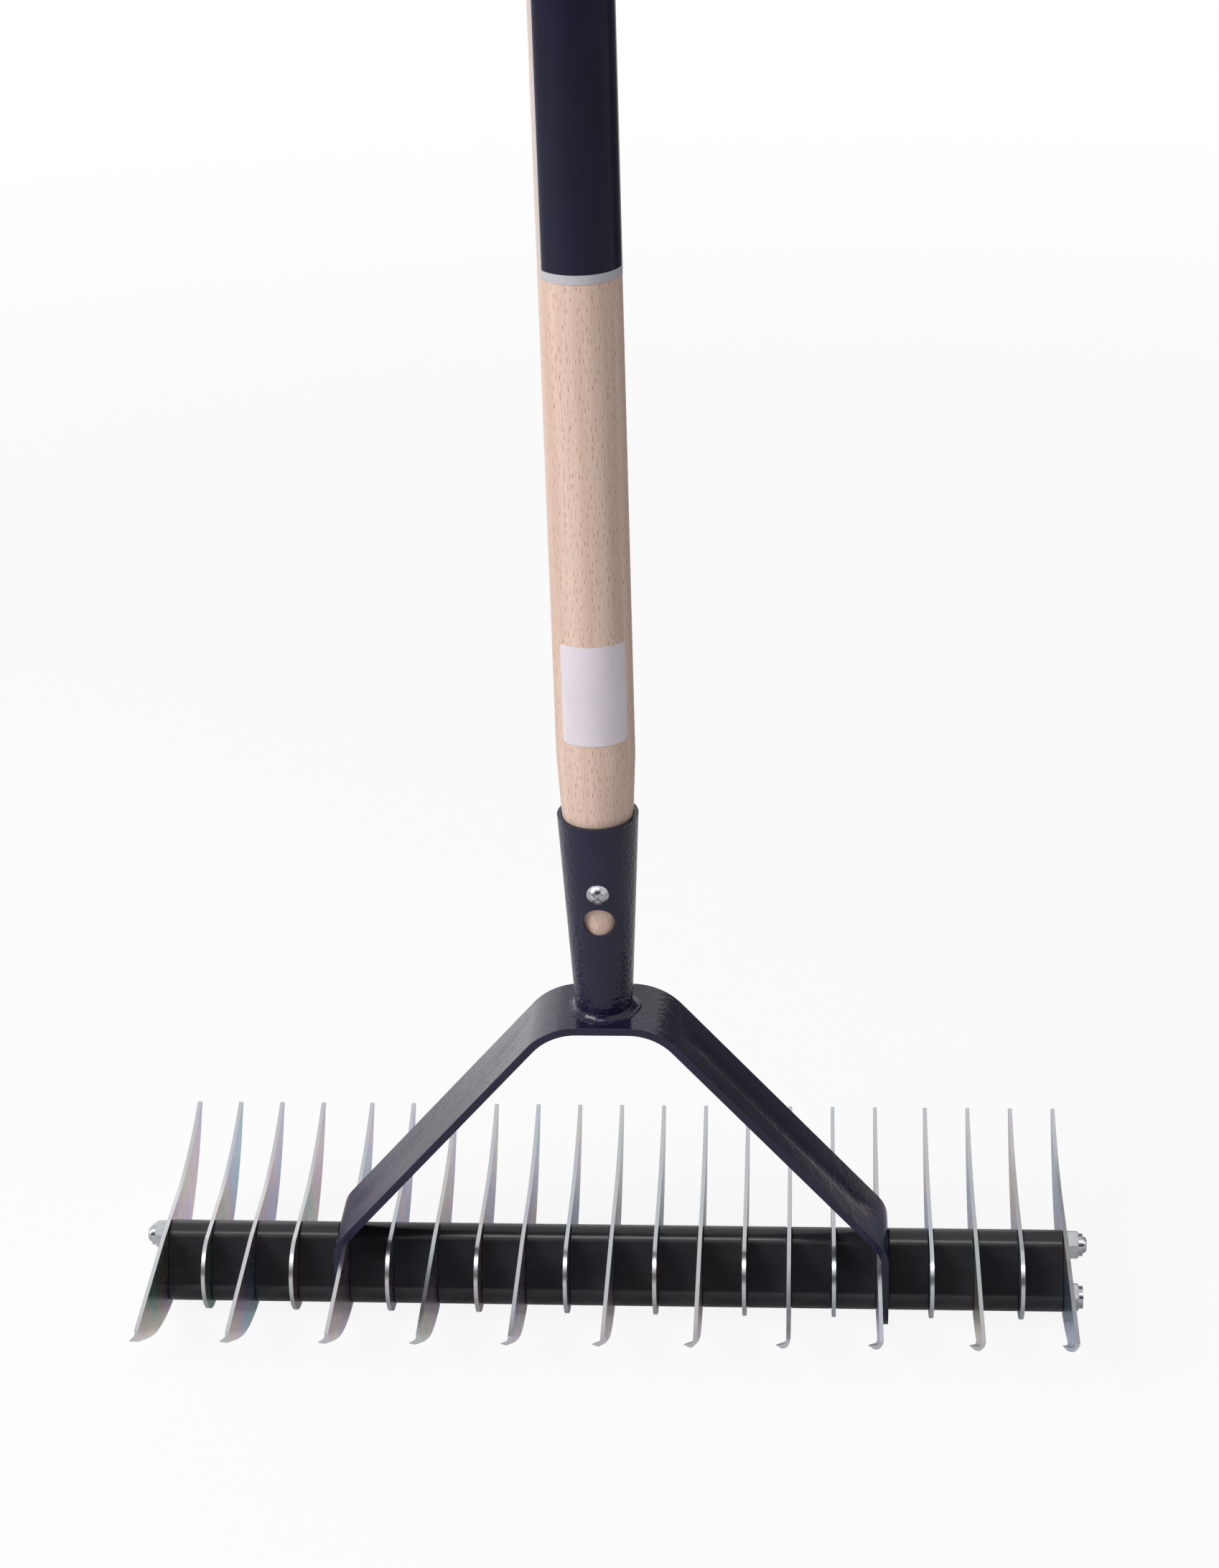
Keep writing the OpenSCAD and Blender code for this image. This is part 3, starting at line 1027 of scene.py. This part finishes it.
@dataclass
class Socket:
    """The tapered socket, its weld and the screw that holds the handle."""

    rim_edge: Edge = Edge(0.0007, 40.0)
    screw_edge: Edge = Edge(0.00015, 35.0)
    weld_size: float = 0.0042
    weld_share: float = 0.66
    weld_waves: tuple[Triple, ...] = ((0.10, 3.0, 1.0), (0.06, 7.0, 0.4))
    weld_bite: float = 0.0004
    weld_edge: float = 0.00002
    weld_steps: int = 96
    weld_arc: int = 10
    pieces: dict[str, bpy.types.Object] = field(default_factory=dict)

    def bead(self, angle: float) -> list[tuple[float, float]]:
        """The weld's hollow section at one angle round the socket.

        Args:
            angle: Angle round the handle's axis.

        Returns:
            The (radius, height) points of a fillet that thins out at both ends.
        """
        low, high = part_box("weld")
        foot = high[0] - self.weld_size
        base = low[2]
        waves = sum(high * math.sin(count * angle + lag) for high, count, lag in self.weld_waves)
        size = self.weld_size * (self.weld_share + waves)
        back = foot - self.weld_bite
        points = [(back, base), (back, base + size)]
        for step in range(self.weld_arc + 1):
            turn = math.pi / 2 * step / self.weld_arc
            points.append((
                foot + size * (1 - math.cos(turn)),
                base + size * (1 - math.sin(turn)) + self.weld_edge,
            ))
        return points

    def weld(self) -> bpy.types.Object:
        """Runs the weld round the socket's foot.

        Returns:
            The weld.
        """
        turns = [2 * math.pi * step / self.weld_steps for step in range(self.weld_steps)]
        mesh = turned_mesh("socket_weld", [self.bead(turn) for turn in turns])
        return seated(placed("socket_weld", mesh), "weld")

    def build(self) -> None:
        """Makes the socket, weld and screw."""
        self.pieces["socket"] = soft_copy("socket", "tapered_socket", self.rim_edge)
        self.pieces["weld"] = self.weld()
        self.pieces["screw"] = soft_copy("handle_screw", "handle_screw_soft", self.screw_edge)

    def dress(self, palette: Palette) -> None:
        """Puts the finishes on.

        Args:
            palette: The finishes.
        """
        palette.dress(self.pieces["socket"], Finish.PAINT)
        palette.dress(self.pieces["weld"], Finish.PAINT)
        palette.dress(self.pieces["screw"], Finish.BRIGHT)


@dataclass
class Bow:
    """The bent strip that carries the head."""

    strip_edge: Edge = Edge(0.0007, 40.0)
    pieces: dict[str, bpy.types.Object] = field(default_factory=dict)

    def build(self) -> None:
        """Makes the strip."""
        self.pieces["bow"] = soft_copy("bow", "bent_bow", self.strip_edge)

    def dress(self, palette: Palette) -> None:
        """Puts the finish on."""
        palette.dress(self.pieces["bow"], Finish.PAINT)


@dataclass
class Head:
    """The rods with their nuts, and the blades and spacers strung on them."""

    blade_count: int = 21
    blade_edge: Edge = Edge(0.00025, 35.0)
    spacer_edge: Edge = Edge(0.0006, 35.0)
    rod_edge: Edge = Edge(0.0002, 35.0)
    nut_edge: Edge = Edge(0.0002, 25.0)
    stack_end: float = 0.17375
    nut_height: float = 0.006
    rod_radius: float = 0.003
    rod_y: float = 0.005246
    rod_rise: float = 0.008396
    middle: float = 0.018
    thread_pitch: float = 0.001
    thread_turns: float = 1.8
    thread_sunk: tuple[float, float] = (0.0001, 0.0003)
    thread_steps: int = 48
    ridge_sides: int = 8
    ridge_share: float = 0.3
    lead_share: float = 0.6
    blade_thick: float = 0.0015
    toe_draw: tuple[float, float] = (0.2, 0.5)
    toe_lift: float = 0.6
    pieces: dict[str, list[bpy.types.Object]] = field(default_factory=dict)

    def crescent(self, number: int) -> bpy.types.Object:
        """Makes one blade, with the bent toe of a long one drawn in towards it.

        The toes lie closer to their blades, and higher, towards the row's last one.

        Args:
            number: The blade's place in the row, from 1.

        Returns:
            The blade.
        """
        node = f"blade_{number:02d}"
        piece = softened(node, f"crescent_{number:02d}", self.blade_edge)
        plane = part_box(node)[1][0] - self.blade_thick
        share = (number - 1) / (self.blade_count - 1)
        first, last = self.toe_draw
        draw = first + (last - first) * share
        for point in piece.data.vertices:
            out = plane - point.co.x
            if out > 0:
                point.co.x += out * draw
                point.co.z += out * self.toe_lift * share
        return seated(piece, node)

    def lock_nuts(self, finish: bpy.types.Material) -> bpy.types.Object:
        """Sets one rounded nut on all four rod ends.

        Args:
            finish: The nuts' material.

        Returns:
            The four nuts as one piece.
        """
        nut = softened(
            "lock_nuts",
            "rod_nuts",
            self.nut_edge,
            keep=lambda point: point.x > 0 and point.z > self.middle,
            shift=(-self.stack_end, -self.rod_y, -self.middle - self.rod_rise),
        )
        form = Form("nuts_on_rod_ends")
        reach = form.size("Reach", self.stack_end)
        rod_y = form.size("Rod Y", self.rod_y)
        rise = form.size("Rod Rise", self.rod_rise)
        middle = form.size("Middle", self.middle)
        number = form.index()
        end = form.math("MODULO", number, 2.0) * 2.0 - 1.0
        row = form.math("FLOOR", number / 2.0) * 2.0 - 1.0
        shape = form.set_on(
            Signal(form, form.start.outputs["Geometry"]),
            4,
            form.join(end * reach, row * rod_y, row * rise + middle),
            form.join(0.0, 0.0, (1.0 - end) * (math.pi / 2)),
        )
        return seated(form.shape(nut, shape, finish), "lock_nuts")

    def rod_threads(self, finish: bpy.types.Material) -> bpy.types.Object:
        """Winds the thread that shows on the upper rod's two ends.

        Args:
            finish: The thread's material.

        Returns:
            Both threads as one piece.
        """
        form = Form("threads_on_rod_ends")
        pitch = form.size("Pitch", self.thread_pitch)
        turns = form.size("Turns", self.thread_turns)
        radius = form.size("Rod Radius", self.rod_radius)
        reach = form.size("Reach", self.stack_end + self.nut_height)
        rod_y = form.size("Rod Y", self.rod_y)
        height = form.size("Height", self.middle + self.rod_rise)
        start, end = self.thread_sunk
        spiral = form.node(
            "GeometryNodeCurveSpiral",
            None,
            {
                "Resolution": self.thread_steps,
                "Rotations": turns,
                "Start Radius": radius - start,
                "End Radius": radius - end,
                "Height": turns * pitch,
            },
        )
        ridge = form.node(
            "GeometryNodeCurvePrimitiveCircle",
            {"mode": "RADIUS"},
            {"Resolution": self.ridge_sides, "Radius": pitch * self.ridge_share},
        )
        wound = form.node(
            "GeometryNodeCurveToMesh",
            None,
            {
                "Curve": Signal(form, spiral.outputs[0]),
                "Profile Curve": Signal(form, ridge.outputs[0]),
                "Fill Caps": True,
            },
        )
        side = form.index() * 2.0 - 1.0
        shape = form.set_on(
            Signal(form, wound.outputs[0]),
            2,
            form.join(side * (reach - pitch * self.lead_share), rod_y, height),
            form.join(0.0, side * (math.pi / 2), 0.0),
        )
        piece = placed("rod_threads", bpy.data.meshes.new("rod_threads"))
        return seated(form.shape(piece, shape, finish))

    def build(self) -> None:
        """Makes the rods, blades and spacers."""
        numbers = range(1, self.blade_count + 1)
        self.pieces["blades"] = [self.crescent(k) for k in numbers]
        self.pieces["spacers"] = [
            soft_copy(f"spacer_{k:02d}", f"sleeve_{k:02d}", self.spacer_edge)
            for k in numbers[:-1]
        ]
        self.pieces["rods"] = [
            soft_copy("rod_upper", "upper_rod", self.rod_edge),
            soft_copy("rod_lower", "lower_rod", self.rod_edge),
        ]

    def dress(self, palette: Palette) -> None:
        """Adds the nuts and threads, and puts the finishes on.

        Args:
            palette: The finishes.
        """
        bright = palette.get(Finish.BRIGHT)
        self.pieces["nuts"] = [self.lock_nuts(bright)]
        self.pieces["threads"] = [self.rod_threads(bright)]
        for piece in self.pieces["blades"]:
            palette.dress(piece, Finish.PASSIVATED)
        for piece in self.pieces["spacers"]:
            palette.dress(piece, Finish.PLASTIC)
        for piece in self.pieces["rods"] + self.pieces["nuts"] + self.pieces["threads"]:
            palette.dress(piece, Finish.BRIGHT)


@dataclass
class Lamp:
    """A soft studio lamp."""

    name: str
    at: Triple
    aim: Triple
    size: tuple[float, float]
    watts: float

    def hang(self) -> bpy.types.Object:
        """Puts the lamp into the scene.

        Returns:
            The lamp.
        """
        data = bpy.data.lights.new(self.name, "AREA")
        data.shape = "RECTANGLE"
        data.size, data.size_y = self.size
        data.energy = self.watts
        lamp = bpy.data.objects.new(self.name, data)
        lamp.location = self.at
        way = Vector(self.aim) - Vector(self.at)
        lamp.rotation_euler = way.to_track_quat("-Z", "Y").to_euler()
        bpy.context.scene.collection.objects.link(lamp)
        return lamp


@dataclass
class Flag:
    """A card beside the set, dark or pale, which shows only in gloss."""

    name: str
    at: Triple
    wide: Triple
    high: Triple
    tone: float

    def stand(self) -> bpy.types.Object:
        """Puts the card up.

        Returns:
            The card.
        """
        at, wide, high = Vector(self.at), Vector(self.wide), Vector(self.high)
        mesh = bpy.data.meshes.new(self.name)
        corners = (at - wide - high, at + wide - high, at + wide + high, at - wide + high)
        mesh.from_pydata([tuple(corner) for corner in corners], [], [(0, 1, 2, 3)])
        m = Material(self.name)
        mesh.materials.append(
            m.shade(Base_Color=(0, 0, 0, 1), Emission_Strength=self.tone, Specular_IOR_Level=0.0)
        )
        card = bpy.data.objects.new(self.name, mesh)
        for ray in ("camera", "diffuse", "shadow", "transmission", "volume_scatter"):
            setattr(card, f"visible_{ray}", False)
        bpy.context.scene.collection.objects.link(card)
        return card


@dataclass
class Studio:
    """Floor, light and camera."""

    floor_half: float = 24.0
    floor_drop: float = 0.0005
    floor_tone: Colour = tint(236, 236, 238)
    shadow_reach: float = 0.7
    shadow_fade: float = 3.0
    near_white: float = 0.9
    mirror_white: float = 0.15
    sky: float = 0.25
    eye: Triple = (0.0746, -0.9408, 0.6907)
    pitch: float = math.radians(26.26)
    yaw: float = math.radians(-4.261)
    roll: float = math.radians(-1.781)
    focal: float = 4126.0
    picture: tuple[int, int] = (1698, 2184)
    film_width: float = 36.0
    sight: tuple[float, float] = (0.05, 50.0)
    lamps: tuple[Lamp, ...] = (
        Lamp("key", (-1.6, -1.0, 1.6), (0.0, 0.0, 0.25), (1.0, 1.4), 40.0),
        Lamp("fill", (1.3, -1.6, 1.1), (0.0, 0.0, 0.25), (1.0, 1.0), 1.0),
        Lamp("top", (-0.1, -0.9, 2.4), (0.0, 0.0, 0.1), (1.2, 0.3), 12.0),
    )
    flags: tuple[Flag, ...] = (
        Flag("front_flag", (0.0, -1.5, 1.0), (1.0, 0.0, 0.0), (0.0, 0.0, 0.55), 0.05),
        Flag("back_flag", (0.62, 0.38, 0.25), (0.42, 0.0, 0.0), (0.0, 0.0, 0.25), 0.12),
        Flag("back_card", (-0.62, 0.45, 0.2), (0.42, 0.0, 0.0), (0.0, 0.0, 0.2), 1.5),
    )

    def floor(self) -> bpy.types.Object:
        """Lays the pale floor.

        Returns:
            The floor.
        """
        mesh = bpy.data.meshes.new("floor")
        h = self.floor_half
        mesh.from_pydata(
            [(-h, -h, 0.0), (h, -h, 0.0), (h, h, 0.0), (-h, h, 0.0)], [], [(0, 1, 2, 3)]
        )
        floor = bpy.data.objects.new("floor", mesh)
        floor.location = (0.0, 0.0, -self.floor_drop)
        bpy.context.scene.collection.objects.link(floor)
        m = Material("pale_floor")
        m.shade(Base_Color=self.floor_tone, Roughness=0.9, Specular_IOR_Level=0.1)
        x, y, _ = m.split(m.place())
        away = (x * x + y * y) ** 0.5
        fade = away.step(self.shadow_reach, self.shadow_fade * self.shadow_reach)
        plain = fade * (1 - self.near_white) + self.near_white
        seen, mirrored, through = m.rays()
        white = m.node("ShaderNodeEmission", None, {"Color": (1, 1, 1, 1), "Strength": 1.0})
        share = seen * plain + mirrored.most(through) * self.mirror_white
        blend = m.node("ShaderNodeMixShader", None, {0: share})
        m.tree.links.new(m.shader.outputs[0], blend.inputs[1])
        m.tree.links.new(white.outputs[0], blend.inputs[2])
        m.tree.links.new(blend.outputs[0], m.end.inputs["Surface"])
        mesh.materials.append(m.made)
        return floor

    def world(self) -> None:
        """Sets the soft light all round, white where the camera sees it."""
        world = bpy.data.worlds.new("studio")
        bpy.context.scene.world = world
        world.use_nodes = True
        g = Graph(world.node_tree)
        seen, mirrored, through = g.rays()
        strength = seen.most(mirrored).most(through) * (1.0 - self.sky) + self.sky
        ground = g.node(
            "ShaderNodeBackground", None, {"Color": (1, 1, 1, 1), "Strength": strength}
        )
        end = g.node("ShaderNodeOutputWorld")
        g.tree.links.new(ground.outputs[0], end.inputs["Surface"])

    def camera(self) -> None:
        """Sets the camera where the photograph was taken."""
        data = bpy.data.cameras.new("camera")
        data.sensor_fit = "AUTO"
        data.sensor_width = self.film_width
        data.lens = self.focal / max(self.picture) * data.sensor_width
        data.clip_start, data.clip_end = self.sight
        camera = bpy.data.objects.new("camera", data)
        camera.matrix_world = (
            Matrix.Translation(self.eye)
            @ Matrix.Rotation(-self.yaw, 4, "Z")
            @ Matrix.Rotation(math.pi / 2 - self.pitch, 4, "X")
            @ Matrix.Rotation(self.roll, 4, "Z")
        )
        bpy.context.scene.collection.objects.link(camera)
        bpy.context.scene.camera = camera

    def build(self) -> None:
        """Sets up the whole studio."""
        bpy.context.scene.view_settings.view_transform = "Standard"
        self.floor()
        self.world()
        for lamp in self.lamps:
            lamp.hang()
        for flag in self.flags:
            flag.stand()
        self.camera()


def main() -> None:
    """Builds and dresses the rake, piece by piece."""
    logging.basicConfig(level=logging.INFO, format="%(name)s %(message)s")
    Studio().build()
    handle, socket, bow, head = Handle(), Socket(), Bow(), Head()
    palette = Palette(handle.film())
    for part in (handle, socket, bow, head):
        part.build()
        part.dress(palette)
        for key, made in part.pieces.items():
            for piece in made if isinstance(made, list) else [made]:
                LOG.info("%s: %s, %d faces", key, piece.name, len(piece.data.polygons))


if __name__ == "__main__":
    main()
